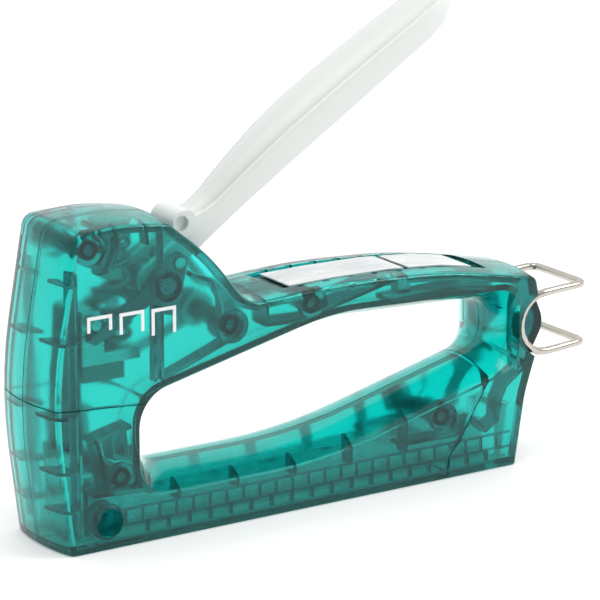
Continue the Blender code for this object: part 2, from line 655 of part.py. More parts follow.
def build_magazine(paints):
    rail = finish("magazine_rail", channel(-59.6, 63.4, 4.6, 3.8, 1.0, 11.6, 0.8), None)
    name_piece(rail, "magazine_rail", paints["steel"])
    plate = finish("nose_plate", channel(0.3, 24.0, 7.6, 6.8, 0.0, 2.4, 0.8), None)
    turn = Matrix.Rotation(math.radians(-90.0), 4, "Y")
    plate.data.transform(turn)
    plate.data.transform(Matrix.Translation(Vector((-61.7, 0.0, 0.0)) * MM))
    name_piece(plate, "nose_plate", paints["steel"])
    pusher = finish("staple_pusher", channel(-59.3, -46.0, 5.9, 4.9, 1.2, 12.9, 1.0), None)
    name_piece(pusher, "staple_pusher", paints["steel"])
    rod = rod_along_x(-56.0, 65.9, ROD_Z, 1.2, 10)
    name_piece(finish("magazine_rod", rod, None), "magazine_rod", paints["steel"])
    catch = finish("magazine_catch", loft([box_ring(66.2, 70.6, -6.2, 6.2, z) for z in (1.2, 14.5)]), None)
    name_piece(catch, "magazine_catch", paints["teal"])
    spring = finish("pusher_spring", rod_along_x(-44.0, 62.0, ROD_Z, 2.9, 12), None)
    cut(spring, rod_along_x(-50.0, 70.0, ROD_Z, 2.2, 12))
    name_piece(spring, "pusher_spring", paints["steel"])


def rod_along_x(x0, x1, z, radius, count):
    steps = [2.0 * math.pi * k / count for k in range(count)]
    return loft([[(x, radius * math.cos(a), z + radius * math.sin(a)) for a in steps] for x in (x0, x1)])


# ---------------------------------------------------------------- wire loop, labels, screws

def loop_path():
    """Closed line of the wire loop: two sideways U bends joined by cross bars at the rear."""
    cx, cz = LOOP_PIVOT
    reach, bend = 13.2, 2.6
    side = []
    for x, z in ((cx + reach - bend, cz + LOOP_RADIUS + 0.5), (cx + 4.0, cz + LOOP_RADIUS + 0.2)):
        side.append((x, z))
    for k in range(11):
        angle = math.pi * (0.5 + k / 10.0)
        side.append((cx + LOOP_RADIUS * math.cos(angle), cz + LOOP_RADIUS * math.sin(angle)))
    side += [(cx + 4.0, cz - LOOP_RADIUS + 0.2), (cx + reach - bend, cz - LOOP_RADIUS + 0.7)]
    path = [(x, -LOOP_Y, z) for x, z in side]
    tip_low = (cx + reach - bend, cz - LOOP_RADIUS + 0.7)
    path += corner_arc(tip_low, bend, -1.0)
    path += [(x, LOOP_Y, z) for x, z in reversed(side)]
    tip_high = (cx + reach - bend, cz + LOOP_RADIUS + 0.5)
    path += corner_arc(tip_high, bend, 1.0)
    return path


def corner_arc(tip, bend, direction):
    """Rounded turn from one side run, across the rear, to the other side run."""
    points = []
    for k in range(1, 4):
        angle = 0.5 * math.pi * k / 3.0
        points.append((tip[0] + bend * math.sin(angle), -LOOP_Y + bend * (1.0 - math.cos(angle)), tip[1]))
    points += [(x, -y, z) for x, y, z in reversed(points)]
    if direction > 0.0:
        points = [(x, -y, z) for x, y, z in points]
    return points


def build_loop(paints):
    origin = (LOOP_PIVOT[0], 0.0, LOOP_PIVOT[1])
    loop = finish("wire_loop", tube(loop_path(), LOOP_WIRE, 8, True), None)
    name_piece(loop, "wire_loop", paints["nickel"])
    set_origin(loop, origin)


def build_labels(paints):
    spans = {"label_front": [(0.5, 57.9), (14.0, 58.12), (32.0, 57.82), (36.2, 57.47)],
             "label_rear": [(37.8, 57.35), (48.0, 56.52), (58.0, 54.75)]}
    for name, line in spans.items():
        raised = [(x, z + 0.35) for x, z in line]
        label = finish(name, prism(line + raised[::-1], -LABEL_Y, LABEL_Y), None)
        name_piece(label, name, paints["card"])


def build_screws(paints):
    for word, (x, z) in SCREWS.items():
        screw = finish("housing_screw_" + word, prism(circle(x, z, SHANK_RADIUS, 10), -9.0, 11.6), None)
        head = finish("head", prism(circle(x, z, HEAD_RADIUS, 14), 11.3, 13.0), None)
        apply_boolean(screw, head, "UNION")
        cut(screw, prism(strip([(x - 1.6, z), (x + 1.6, z)], 0.6), 12.3, 14.0))
        cut(screw, prism(strip([(x, z - 1.6), (x, z + 1.6)], 0.6), 12.3, 14.0))
        name_piece(screw, "housing_screw_" + word, paints["steel"])


def centre_along_x():
    """Move everything along X until the whole tool's box is centred on the origin."""
    bpy.context.view_layer.update()
    pieces = [obj for obj in bpy.data.objects if obj.type == "MESH"]
    reach = [(obj.matrix_world @ vertex.co).x for obj in pieces for vertex in obj.data.vertices]
    middle = 0.5 * (min(reach) + max(reach))
    for obj in pieces:
        obj.location.x -= middle


def main():
    clear_scene()
    paints = finishes()
    build_housing(paints)
    build_lever(paints)
    build_lever_group(paints)
    build_drive(paints)
    build_magazine(paints)
    build_loop(paints)
    build_labels(paints)
    build_screws(paints)
    centre_along_x()


main()
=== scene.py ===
"""Looks of the squeeze-lever hand tacker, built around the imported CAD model."""
import json
import math

import bmesh
import bpy
from mathutils import Matrix, Vector
from mathutils.bvhtree import BVHTree


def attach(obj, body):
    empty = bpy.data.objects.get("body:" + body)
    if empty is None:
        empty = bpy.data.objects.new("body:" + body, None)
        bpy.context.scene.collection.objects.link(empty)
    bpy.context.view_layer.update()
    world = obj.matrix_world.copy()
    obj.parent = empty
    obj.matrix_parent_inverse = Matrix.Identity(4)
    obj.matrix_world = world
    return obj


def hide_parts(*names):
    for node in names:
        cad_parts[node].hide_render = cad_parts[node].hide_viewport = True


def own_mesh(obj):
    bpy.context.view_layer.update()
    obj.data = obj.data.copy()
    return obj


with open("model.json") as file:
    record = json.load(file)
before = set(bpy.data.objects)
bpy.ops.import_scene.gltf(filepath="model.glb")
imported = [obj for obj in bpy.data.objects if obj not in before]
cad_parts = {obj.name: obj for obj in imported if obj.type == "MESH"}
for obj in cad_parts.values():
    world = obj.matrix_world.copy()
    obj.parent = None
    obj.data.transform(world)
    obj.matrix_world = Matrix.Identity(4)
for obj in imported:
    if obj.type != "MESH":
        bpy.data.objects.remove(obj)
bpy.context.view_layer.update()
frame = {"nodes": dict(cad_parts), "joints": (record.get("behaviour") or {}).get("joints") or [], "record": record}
MM = 0.001
SKIN_REACH = 0.06 * MM       # a face this near a reference skin belongs to it
NEAR_LIGHT = 0.28
FAR_LIGHT = 1.0

# Driving dimensions
HALF_WIDTH = 13.7           # housing, side face to middle plane
WALL = 2.0                  # housing wall
SPLIT_GAP = 0.3             # gap between touching pieces
ARC_STEP = math.radians(4.0)        # turn of one straight step round an outline's corner
FILLET = 1.0                # rounding where the crowned skin meets the side face
LEVER_REST = math.radians(33.0)     # lever above the horizontal at rest
PIVOT = (-38.7, 64.8)       # lever pivot, x and z
PIN_RADIUS = 2.2            # lever pivot pin
BORE_PLAY = 0.3             # gap round every pin and screw
RIVET_RADIUS = 1.5          # lever rivet and lift pin
RIVET = (7.0, 1.0)          # rivet through lever and fork, in lever coordinates
SPRING_X = -48.3            # axis of the power spring
SPRING_Z = (49.3, 78.6)     # power spring, bottom and top
LOOP_PIVOT = (79.7, 37.4)   # wire loop's centre of swing
LOOP_RADIUS = 8.2
LOOP_Y = 11.2               # wire loop's side runs, from the middle plane
LOOP_WIRE = 1.05            # wire radius
SHANK_RADIUS = 1.2          # housing screw
HEAD_RADIUS = 2.6           # housing screw head
BOSS_RADIUS = 2.6           # screw boss inside the shells
RECESS_Y = 8.4              # label recess, half-width
NOTCHES = 8                 # notches along each edge of the recess
NOTCH_PITCH = 7.6
NOTCH_LENGTH = 1.8
KNUCKLE = (15.0, 6.3)       # rolled end of the lever, in lever coordinates
KNUCKLE_RADIUS = 3.6
KNUCKLE_DISH = (14.2, 7.1)  # hollow in each end of the roll, in lever coordinates
DISH_RADIUS = 2.1
MARK_PITCH = 5.0            # upper row of marks along the magazine side
CELL_PITCH = 6.2            # lower row of marks
ROD_Z = 6.0                 # magazine rod's height
POCKET = (-57.2, 6.8)       # round pocket low on the nose, x and z
POCKET_RADIUS = 3.75
POCKET_POLISH = (4.2, 8.4)  # polished round the pocket: radius, and distance from the middle plane

# Side outline as corners: x, z, corner radius, crown of the skin after the corner, fillet there
OUTER = [
    (-70.4, 0.0, 0.8, 2.2, 1.0),
    (-75.3, 39.0, 190.0, 2.0, 1.0),
    (-67.3, 83.0, 5.0, 1.0, 1.0),
    (-50.0, 83.7, 120.0, 1.0, 1.0),
    (-38.4, 82.1, 2.5, 1.2, 1.0),
    (-26.5, 72.5, 60.0, 1.2, 1.0),
    (-14.8, 57.9, 7.0, 0.9, 1.0),
    (14.0, 59.3, 200.0, 0.9, 1.0),
    (48.0, 57.4, 160.0, 1.2, 1.0),
    (76.3, 51.8, 4.0, 1.6, 1.0),
    (77.6, 45.5, 14.0, 1.5, 1.0),
    (81.2, 37.0, 7.5, 1.5, 1.0),
    (76.4, 28.6, 14.0, 1.4, 1.0),
    (72.9, 18.0, 30.0, 1.2, 1.0),
    (70.0, 0.0, 0.8, 0.0, 0.0),
]
OPENING = [
    (-44.4, 34.8, 8.0, 4.0, 1.0),
    (10.0, 47.2, 70.0, 4.0, 1.0),
    (65.8, 45.0, 6.0, 3.5, 1.0),
    (65.9, 31.3, 7.0, 4.9, 1.0),
    (6.0, 16.4, 150.0, 4.3, 1.0),
    (-44.4, 16.5, 8.0, 4.0, 1.0),
]

# Line where the magazine housing meets the upper housing, through the nose, opening and rear
PARTING = [
    (-90.0, 39.4), (-43.0, 35.9), (-36.0, 30.0), (40.0, 38.0), (57.0, 34.5),
    (58.6, 29.8), (60.0, 25.8), (54.3, 16.7), (50.2, 9.6), (46.7, 6.0), (44.9, -10.0),
]

SCREWS = {
    "head": (-60.6, 77.0), "neck": (-19.7, 51.8), "handle": (4.8, 53.6),
    "nose": (-52.1, 17.2), "rear": (46.1, 16.4),
}

# The shapes are drawn in millimetres about the middle of the base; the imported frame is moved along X.
SHIFT = next(j for j in frame["joints"] if j["name"] == "lever_squeeze")["pos_m"][0] - PIVOT[0] * MM


# ---------------------------------------------------------------- mesh tools

def finish(name, bm):
    """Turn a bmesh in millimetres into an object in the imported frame."""
    bmesh.ops.recalc_face_normals(bm, faces=bm.faces)
    mesh = bpy.data.meshes.new(name)
    bmesh.ops.scale(bm, verts=bm.verts, vec=(MM, MM, MM))
    bmesh.ops.translate(bm, verts=bm.verts, vec=(SHIFT, 0.0, 0.0))
    bm.to_mesh(mesh)
    bm.free()
    obj = bpy.data.objects.new(name, mesh)
    bpy.context.scene.collection.objects.link(obj)
    return obj


def loft(rings):
    """Skin a list of equal rings of points, closed with a flat face at each end."""
    bm = bmesh.new()
    loops = [[bm.verts.new(point) for point in ring] for ring in rings]
    count = len(loops[0])
    for low, high in zip(loops, loops[1:]):
        for i in range(count):
            j = (i + 1) % count
            bm.faces.new((low[i], low[j], high[j], high[i]))
    bm.faces.new(list(reversed(loops[0])))
    bm.faces.new(loops[-1])
    return bm


def prism(points, y0, y1):
    """Closed solid: an outline in X and Z, run along Y."""
    return loft([[(x, y, z) for x, z in points] for y in (y0, y1)])


def circle(x, z, radius, count=16, turn=0.0):
    steps = [turn + 2.0 * math.pi * i / count for i in range(count)]
    return [(x + radius * math.cos(a), z + radius * math.sin(a)) for a in steps]


def rectangle(x0, x1, z0, z1):
    return [(x0, z0), (x1, z0), (x1, z1), (x0, z1)]


def strip(points, thickness):
    """Outline of a band of even thickness along a line of points, with mitred corners."""
    left, right = [], []
    for i, (x, z) in enumerate(points):
        before = Vector(points[max(i - 1, 0)])
        after = Vector(points[min(i + 1, len(points) - 1)])
        here = Vector((x, z))
        along = [v.normalized() for v in (here - before, after - here) if v.length > 0.0]
        mean = (along[0] + along[-1]).normalized()
        reach = 0.5 * thickness / max(mean.dot(along[0]), 0.4)
        normal = Vector((-mean.y, mean.x)) * reach
        left.append(tuple(here + normal))
        right.append(tuple(here - normal))
    return left + right[::-1]


def apply_boolean(target, tool, operation):
    modifier = target.modifiers.new("boolean", "BOOLEAN")
    modifier.operation = operation
    modifier.object = tool
    modifier.solver = "EXACT"
    graph = bpy.context.evaluated_depsgraph_get()
    result = bpy.data.meshes.new_from_object(target.evaluated_get(graph))
    target.modifiers.clear()
    old = target.data
    target.data = result
    result.name = old.name
    bpy.data.meshes.remove(old)
    bpy.data.objects.remove(tool, do_unlink=True)


def cut(target, bm):
    apply_boolean(target, finish("cutter", bm), "DIFFERENCE")


def join(target, bm):
    apply_boolean(target, finish("addition", bm), "UNION")


def keep_inside(target, bm):
    apply_boolean(target, finish("keeper", bm), "INTERSECT")


def tube(path, radius, sides=8, closed=False):
    """Round bar along a line of 3-D points, in millimetres."""
    bm = bmesh.new()
    points = [Vector(p) for p in path]
    count = len(points)
    rings = []
    normal = None
    for i, point in enumerate(points):
        before = points[i - 1] if (closed or i > 0) else point
        after = points[(i + 1) % count] if (closed or i < count - 1) else point
        along = (after - before).normalized()
        if normal is None:
            normal = along.orthogonal().normalized()
        normal = (normal - along * normal.dot(along)).normalized()
        side = along.cross(normal)
        steps = [2.0 * math.pi * k / sides for k in range(sides)]
        offsets = [radius * (math.cos(a) * normal + math.sin(a) * side) for a in steps]
        rings.append([bm.verts.new(point + offset) for offset in offsets])
    for low, high in zip(rings, rings[1:]):
        for k in range(sides):
            bm.faces.new((low[k], low[(k + 1) % sides], high[(k + 1) % sides], high[k]))
    if closed:
        last, first = rings[-1], rings[0]
        offset = min(range(sides), key=lambda s: (last[0].co - first[s].co).length)
        for k in range(sides):
            a, b = (k + offset) % sides, (k + 1 + offset) % sides
            bm.faces.new((last[k], last[(k + 1) % sides], first[b], first[a]))
    else:
        bm.faces.new(list(reversed(rings[0])))
        bm.faces.new(rings[-1])
    return bm


def helix(start, axis, length, radius, wire, turns, steps=12, sides=6):
    """Coil spring: its first and last turns lie nearly flat."""
    along = Vector(axis)
    across = along.orthogonal().normalized()
    third = along.cross(across)
    count = int(turns * steps)
    path = []
    for i in range(count + 1):
        t = i / count
        rise = length * (t - 0.55 * math.sin(2.0 * math.pi * t) / (2.0 * math.pi))
        angle = 2.0 * math.pi * turns * t
        path.append(Vector(start) + along * rise
                    + radius * (math.cos(angle) * across + math.sin(angle) * third))
    return tube(path, wire, sides)


def offset_outline(corners, inset, inward):
    """Sample a rounded polygon after moving each edge by inset(edge), towards the body if inward."""
    count = len(corners)
    area = sum(corners[i][0] * corners[(i + 1) % count][1] - corners[(i + 1) % count][0] * corners[i][1]
               for i in range(count))
    turn = 1.0 if area > 0.0 else -1.0
    moved = []
    for i in range(count):
        a = Vector(corners[i][:2])
        b = Vector(corners[(i + 1) % count][:2])
        along = (b - a).normalized()
        normal = Vector((-along.y, along.x)) * turn * (1.0 if inward else -1.0)
        moved.append((a + normal * inset(corners[i]), along))
    result = []
    for i in range(count):
        (p, d), (q, e) = moved[i - 1], moved[i]
        cross = d.x * e.y - d.y * e.x
        step = ((q - p).x * e.y - (q - p).y * e.x) / cross
        corner = p + d * step
        amount = 0.5 * (inset(corners[i - 1]) + inset(corners[i]))
        bulges = (cross * turn > 0.0) == inward
        radius = corners[i][2] - amount if bulges else corners[i][2] + amount
        half = 0.5 * abs(math.atan2(cross, d.dot(e)))
        limit = 0.46 * min((Vector(corners[i][:2]) - Vector(corners[j % count][:2])).length
                           for j in (i - 1, i + 1))
        reach = min(max(radius, 0.25) * math.tan(half), limit)
        radius = reach / math.tan(half)
        centre = corner + (e - d).normalized() * radius / math.cos(half)
        first, last = corner - d * reach - centre, corner + e * reach - centre
        sweep = math.atan2(first.x * last.y - first.y * last.x, first.dot(last))
        arc_steps = min(max(math.ceil(2.0 * half / ARC_STEP), 5), 18)
        for k in range(arc_steps + 1):
            angle = sweep * k / arc_steps
            c, s = math.cos(angle), math.sin(angle)
            result.append((centre.x + c * first.x - s * first.y, centre.y + s * first.x + c * first.y))
    return result


def skin(corners, levels, inward, wall=0.0):
    """Loft of a crowned outline: levels are (y, fillet share), the crown grows with y squared."""
    rings = []
    for y, share in levels:
        swell = (y / HALF_WIDTH) ** 2

        def inset(corner, swell=swell, share=share):
            return wall + corner[3] * swell + corner[4] * FILLET * share
        rings.append([(x, -y, z) for x, z in offset_outline(corners, inset, inward)])
    return loft(rings)


def housing_levels(first, last):
    crown = [(first + (last - FILLET - first) * k / 10.0, 0.0) for k in range(11)]
    turn = [0.5 * math.pi * k / 6.0 for k in range(1, 7)]
    return crown + [(last - FILLET * (1.0 - math.sin(a)), 0.95 * (1.0 - math.cos(a))) for a in turn]


def rib_list():
    """Ribs as (outline, inner y): each runs from the side wall in to the inner y."""
    ribs = []
    for x0, z0, x1, z1 in (
            (-74.0, 70.0, -65.0, 68.6), (-74.5, 55.0, -65.0, 53.6), (-74.5, 36.0, -65.0, 35.0),
            (-74.0, 22.0, -65.0, 20.6), (-73.0, 11.5, -65.0, 10.6)):
        ribs.append((strip([(x0, z0), (x1, z1)], 0.9), 4.0))
    ribs.append((strip([(-65.2, 4.0), (-65.2, 72.0)], 0.9), 8.4))
    ribs.append((strip([(-57.6, 80.0), (-57.6, 84.5)], 0.9), 3.0))
    ribs.append((strip([(-53.6, 84.5), (-53.4, 76.0), (-55.5, 71.5), (-58.8, 71.0)], 1.0), 8.6))
    ribs.append((strip([(-45.4, 84.5), (-44.6, 76.5)], 0.9), 8.6))
    ribs.append((strip([(-42.6, 41.0), (-42.6, 60.5)], 0.8), 9.4))
    ribs.append((strip([(-40.6, 41.0), (-40.6, 60.0)], 0.8), 9.4))
    ribs.append((strip([(-40.6, 69.6), (-40.6, 79.0)], 0.8), 9.4))
    ribs.append((strip([(-40.0, 41.5), (-30.0, 45.0), (-19.0, 49.0)], 1.0), 8.0))
    ribs.append((strip([(-32.0, 67.0), (-26.0, 64.5), (-23.2, 59.5), (-23.0, 54.0)], 1.2), 9.2))
    ribs.append((strip([(-9.5, 58.5), (-9.5, 50.5), (3.5, 50.0)], 0.9), 5.0))
    ribs.append((strip([(6.5, 51.5), (29.0, 56.4)], 0.9), 5.0))
    ribs.append((rectangle(31.0, 34.6, 52.5, 59.0), 8.0))
    ribs.append((strip([(28.5, 51.0), (50.0, 51.4), (61.0, 49.6), (68.5, 42.0)], 1.3), 5.0))
    for x in (-36.2, -18.6, -1.2, 16.2, 33.6):
        ribs.append((strip([(x, 9.0), (x + 0.6, 30.0)], 1.0), 8.0))
    ribs.append((strip([(32.0, 11.4), (50.0, 11.2), (55.6, 14.4), (59.6, 10.6), (63.4, 13.0),
                        (64.0, 18.0), (66.0, 22.0), (73.5, 27.3)], 1.1), 6.8))
    ribs.append((strip([(64.5, 32.5), (74.0, 26.6)], 1.3), 5.0))
    for z in (5.0, 9.0):
        ribs.append((strip([(-52.4, z), (67.5, z)], 0.5), 10.9))
    for i in range(24):
        x = -51.8 + MARK_PITCH * i
        ribs.append((strip([(x, 4.9), (x, 9.1)], 0.5), 10.9))
    for i in range(18):
        x = -45.2 + CELL_PITCH * i
        ribs.append((strip([(x, 1.0), (x, 5.1)], 0.5), 10.2))
    ribs.append((strip([(-61.0, 28.1), (-50.0, 30.6)], 1.2), 6.6))
    ribs.append((strip([(-59.6, 28.0), (-57.0, 14.0)], 1.1), 6.6))
    ribs.append((strip([(-55.8, 28.6), (-54.6, 23.0), (-51.4, 23.4), (-52.0, 30.0)], 1.1), 6.6))
    ribs.append((strip([(-61.0, 14.2), (-45.0, 13.2), (-42.4, 15.4)], 1.2), 6.6))
    ribs.append((strip([(-47.6, 24.0), (-45.2, 13.5)], 1.1), 6.6))
    return ribs


def shell_blank():
    """One hollow half of the housing, ribs and bosses included, before it is drilled and parted."""
    half = finish("half", skin(OUTER, housing_levels(0.5 * SPLIT_GAP, HALF_WIDTH), True))
    cut(half, skin(OPENING, housing_levels(-1.0, HALF_WIDTH + 1.0), False))
    inner = HALF_WIDTH - WALL
    void_levels = [(-1.0, 0.0), (0.5 * inner, 0.0), (0.8 * inner, 0.0), (inner, 0.5)]
    void = finish("void", skin(OUTER, void_levels, True, WALL))
    cut(void, skin(OPENING, [(-2.0, 0.0), (0.5 * inner, 0.0), (0.8 * inner, 0.0), (inner + 1.0, 0.4)],
                   False, WALL))
    for outline, inner_y in rib_list():
        cut(void, prism(outline, -inner - 1.0, -inner_y))
    for x, z in SCREWS.values():
        cut(void, prism(circle(x, z, 4.0, 18), -inner - 1.0, -9.4))
    cut(void, prism(circle(*SCREWS["neck"], 4.5, 20), -inner - 1.0, -6.0))
    join(void, prism(circle(*SCREWS["neck"], 3.3, 18), -9.4, -5.0))
    for x, z in SCREWS.values():
        cut(void, prism(circle(x, z, BOSS_RADIUS, 14), -inner - 1.0, 2.0))
    cut(void, prism(circle(*PIVOT, 3.9, 18), -inner - 1.0, -8.8))
    cut(void, prism(circle(*POCKET, 4.8, 16), -inner - 1.0, -7.9))
    cut(void, prism(rectangle(69.6, 90.0, 25.0, 50.0), -inner - 1.0, -LOOP_Y + 3.1))
    apply_boolean(half, void, "DIFFERENCE")
    return half


def mirrored(obj, name):
    """Copy of an object across the middle plane."""
    bm = bmesh.new()
    bm.from_mesh(obj.data)
    bmesh.ops.scale(bm, verts=bm.verts, vec=(1.0, -1.0, 1.0))
    bmesh.ops.reverse_faces(bm, faces=bm.faces)
    mesh = bpy.data.meshes.new(name)
    bm.to_mesh(mesh)
    bm.free()
    copy = bpy.data.objects.new(name, mesh)
    bpy.context.scene.collection.objects.link(copy)
    return copy


def lever_slot():
    """Cut for the lever through the sloping back of the head."""
    outline = [(-37.6, 90.0), (-37.6, 74.0), (-30.5, 61.5), (-14.0, 56.9), (-5.0, 59.4), (-5.0, 90.0)]
    return prism(outline, -6.7, 6.7)


def drill_half(half, side):
    """Bores, slot, recesses and nose opening of one half; side is -1 left or +1 right."""
    def along(y0, y1):
        return sorted((side * y0, side * y1))
    shank_bore = SHANK_RADIUS + BORE_PLAY
    if side > 0:
        for x, z in SCREWS.values():
            cut(half, prism(circle(x, z, shank_bore, 10), *along(-1.0, 12.0)))
            cut(half, prism(circle(x, z, HEAD_RADIUS + BORE_PLAY, 14), *along(11.0, 20.0)))
    else:
        for x, z in SCREWS.values():
            cut(half, prism(circle(x, z, shank_bore, 10), *along(-1.0, 9.6)))
    cut(half, prism(circle(*PIVOT, PIN_RADIUS + BORE_PLAY, 14), *along(-1.0, 11.8)))
    cut(half, prism(circle(*POCKET, POCKET_RADIUS, 20), *along(8.9, 20.0)))
    cut(half, lever_slot())
    cut(half, prism(rectangle(-64.6, -58.9, -1.0, 6.0), -7.9, 7.9))
    cut(half, prism(rectangle(-60.0, 66.0, -1.0, 3.0), -6.3, 6.3))
    cut(half, prism(rectangle(64.0, 80.0, 0.9, 14.9), -6.6, 6.6))
    cut(half, prism(circle(*LOOP_PIVOT, LOOP_RADIUS + 1.5, 28), *along(LOOP_Y - 1.4, 20.0)))
    cut(half, prism(label_recess(), -RECESS_Y, RECESS_Y))
    for k in range(NOTCHES):
        x, floor = 2.0 + NOTCH_PITCH * k, 57.9 - 0.028 * k * k
        notch = rectangle(x, x + NOTCH_LENGTH, floor, 70.0)
        cut(half, prism(notch, *along(RECESS_Y - 0.5, RECESS_Y + 1.0)))


def label_recess():
    """Outline of the shallow pocket along the handle top."""
    floor = [(-3.0, 57.5), (14.0, 57.8), (32.0, 57.5), (48.0, 56.2), (62.0, 53.7)]
    return floor + [(63.0, 70.0), (-3.5, 70.0)]


def parting_region(shift):
    """Region of the magazine housing, its upper edge moved by shift along Z or X."""
    line = offset_line(PARTING, shift)
    return line + [(-90.0, -10.0)]


def offset_line(points, shift):
    moved = []
    for i, point in enumerate(points):
        before = Vector(points[max(i - 1, 0)])
        after = Vector(points[min(i + 1, len(points) - 1)])
        along = (after - before).normalized()
        moved.append(tuple(Vector(point) + Vector((-along.y, along.x)) * shift))
    return moved


def copy_object(obj, name):
    twin = bpy.data.objects.new(name, obj.data.copy())
    bpy.context.scene.collection.objects.link(twin)
    return twin


def lever_frame(x, z):
    """Lever coordinates (along it from the pivot, and square to it) to x and z at rest."""
    c, s = math.cos(LEVER_REST), math.sin(LEVER_REST)
    return PIVOT[0] + c * x - s * z, PIVOT[1] + s * x + c * z


# Lever sections: distance from the pivot, lower edge, side height, crown, half-width
LEVER_SECTIONS = [
    (12.6, -1.6, 6.6, 1.0, 5.2), (16.0, -1.5, 7.4, 1.4, 5.4), (19.0, -1.3, 7.4, 1.2, 5.5),
    (22.0, -1.1, 6.4, 1.5, 5.6), (26.0, -0.8, 6.1, 1.9, 5.9), (31.0, -0.4, 6.3, 2.0, 6.4),
    (39.0, 0.1, 6.7, 2.3, 7.2), (50.0, 0.6, 7.1, 2.5, 8.1), (62.0, 0.7, 7.2, 2.6, 8.6),
    (75.0, 0.6, 7.0, 2.5, 8.6), (88.0, 0.4, 6.6, 2.4, 8.4), (98.0, 0.1, 6.4, 2.2, 8.1),
    (104.0, 0.6, 5.6, 1.9, 7.5), (108.0, 2.1, 3.8, 1.7, 6.2), (109.6, 3.8, 1.8, 1.0, 4.4),
]
LEVER_WALL = 1.6
GROOVE_DEPTH = 0.9          # groove between the bead and the crown
GROOVE_END = 2.2            # its inner edge, from the side of the lever


def lever_profile(section):
    """Half section of the grip from its lower edge to its ridge: side, bead, groove and crown."""
    low, height, crown, half = section[1:]
    top = low + height
    points = [(-half, low), (-half, low + 0.35 * height), (-half, top - 1.0), (-half + 0.3, top - 0.3),
              (-half + 0.9, top), (-half + 1.3, top - 0.2),
              (-half + 1.75, top - GROOVE_DEPTH), (-half + GROOVE_END, top - 0.2)]
    reach = half - GROOVE_END
    for k in range(1, 5):
        y = -reach * (1.0 - k / 4.0)
        points.append((y, top + crown * (1.0 - (y / reach) ** 2)))
    return points


def lever_ring(section):
    """Whole section of the grip, as 3-D points at rest."""
    half_ring = lever_profile(section)
    ring = half_ring + [(-y, z) for y, z in reversed(half_ring[:-1])]
    return [(px, y, pz) for y, z in ring for px, pz in [lever_frame(section[0], z)]]


def hollow_ring(section):
    """Section of the space under the grip, open well below its lower edge."""
    x, low, height, crown, half = section
    y, top = half - LEVER_WALL, low + height - 0.9
    ring = [(-y, low - 6.0), (-y, top - 1.2), (-y + 1.2, top), (0.0, top + max(crown - 0.7, 0.1)),
            (y - 1.2, top), (y, top - 1.2), (y, low - 6.0)]
    return [(px, y, pz) for y, z in ring for px, pz in [lever_frame(x, z)]]


def build_lever():
    solid = loft([lever_ring(s) for s in LEVER_SECTIONS])
    grip = finish("lever", solid)
    first = LEVER_SECTIONS[0]
    mouth = (first[0] - 4.0,) + first[1:]
    space = loft([hollow_ring(s) for s in [mouth] + LEVER_SECTIONS[1:12]])
    bmesh.ops.triangulate(space, faces=space.faces)
    cut(grip, space)
    roll = circle(*KNUCKLE, KNUCKLE_RADIUS, 18)
    join(grip, prism([lever_frame(x, z) for x, z in roll], -first[4] - 0.35, first[4] + 0.35))
    for side in (-1.0, 1.0):
        y0, y1 = sorted((side * (first[4] - 1.0), side * 9.0))
        cut(grip, prism([lever_frame(x, z) for x, z in circle(*KNUCKLE_DISH, DISH_RADIUS, 14)], y0, y1))
        cheek = [lever_frame(x, z) for x, z in circle(0.0, 0.0, 4.4, 16)[4:13]]
        cheek += [lever_frame(12.0, -1.5), lever_frame(24.0, -0.9), lever_frame(24.0, 3.4),
                  lever_frame(12.0, 4.3)]
        y0, y1 = sorted((side * 3.4, side * 5.0))
        join(grip, prism(cheek, y0, y1))
        cut(grip, prism(circle(*lever_frame(*RIVET), RIVET_RADIUS + BORE_PLAY, 10), y0 - 0.5, y1 + 0.5))
    cut(grip, prism(circle(*PIVOT, PIN_RADIUS + BORE_PLAY, 14), -9.0, 9.0))
    return grip


def loop_path():
    """Closed line of the wire loop: two sideways U bends joined by cross bars at the rear."""
    cx, cz = LOOP_PIVOT
    reach, bend = 13.2, 2.6
    side = [(cx + reach - bend, cz + LOOP_RADIUS + 0.5), (cx + 4.0, cz + LOOP_RADIUS + 0.2)]
    for k in range(11):
        angle = math.pi * (0.5 + k / 10.0)
        side.append((cx + LOOP_RADIUS * math.cos(angle), cz + LOOP_RADIUS * math.sin(angle)))
    side += [(cx + 4.0, cz - LOOP_RADIUS + 0.2), (cx + reach - bend, cz - LOOP_RADIUS + 0.7)]
    path = [(x, -LOOP_Y, z) for x, z in side]
    tip_low = (cx + reach - bend, cz - LOOP_RADIUS + 0.7)
    path += corner_arc(tip_low, bend, -1.0)
    path += [(x, LOOP_Y, z) for x, z in reversed(side)]
    tip_high = (cx + reach - bend, cz + LOOP_RADIUS + 0.5)
    path += corner_arc(tip_high, bend, 1.0)
    return path


def corner_arc(tip, bend, direction):
    """Rounded turn from one side run, across the rear, to the other side run."""
    points = []
    for k in range(1, 4):
        angle = 0.5 * math.pi * k / 3.0
        points.append((tip[0] + bend * math.sin(angle), -LOOP_Y + bend * (1.0 - math.cos(angle)), tip[1]))
    points += [(x, -y, z) for x, y, z in reversed(points)]
    if direction > 0.0:
        points = [(x, -y, z) for x, y, z in points]
    return points


# ---------------------------------------------------------------- material tools

OUTSIDE = (0.10, 0.93, 0.90)        # clear plastic, by the kind of face
INSIDE = (0.04, 0.84, 0.80)
# Painted shade: dark slate for rib, boss and joint faces, standing in for how dark they look through the plastic
RIB_PAINTED_SHADE = (0.03, 0.22, 0.25)
DEPTH_COLOUR = (0.0, 0.84, 0.81)    # what the plastic's thickness lets through
DEPTH_DENSITY = 380.0


